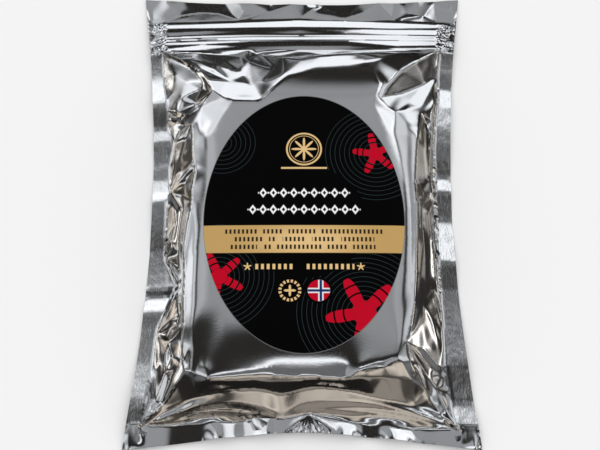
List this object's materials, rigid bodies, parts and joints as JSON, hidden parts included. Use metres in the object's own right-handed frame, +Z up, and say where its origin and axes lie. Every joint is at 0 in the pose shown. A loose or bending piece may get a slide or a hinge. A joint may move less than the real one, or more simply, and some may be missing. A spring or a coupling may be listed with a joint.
{
  "type": "foil pouch of king crab meat",
  "caption": "Heat-sealed foil food pouch with a zip band, filled with a flat block of crab meat, with a large oval label on its face.",
  "frame": {"origin": "on the table, under the middle of the pouch's outline", "axes": "+X across the pouch, +Y towards the header above the zip, +Z up out of the label"},
  "size_m": [0.18, 0.26, 0.0248],
  "materials": {
    "foil": "bright crumpled laminate foil",
    "label_print": "satin black printed label with a gold band"
  },
  "bodies": {
    "root": {"pouch": "foil", "label": "label_print"}
  },
  "joints": []
}
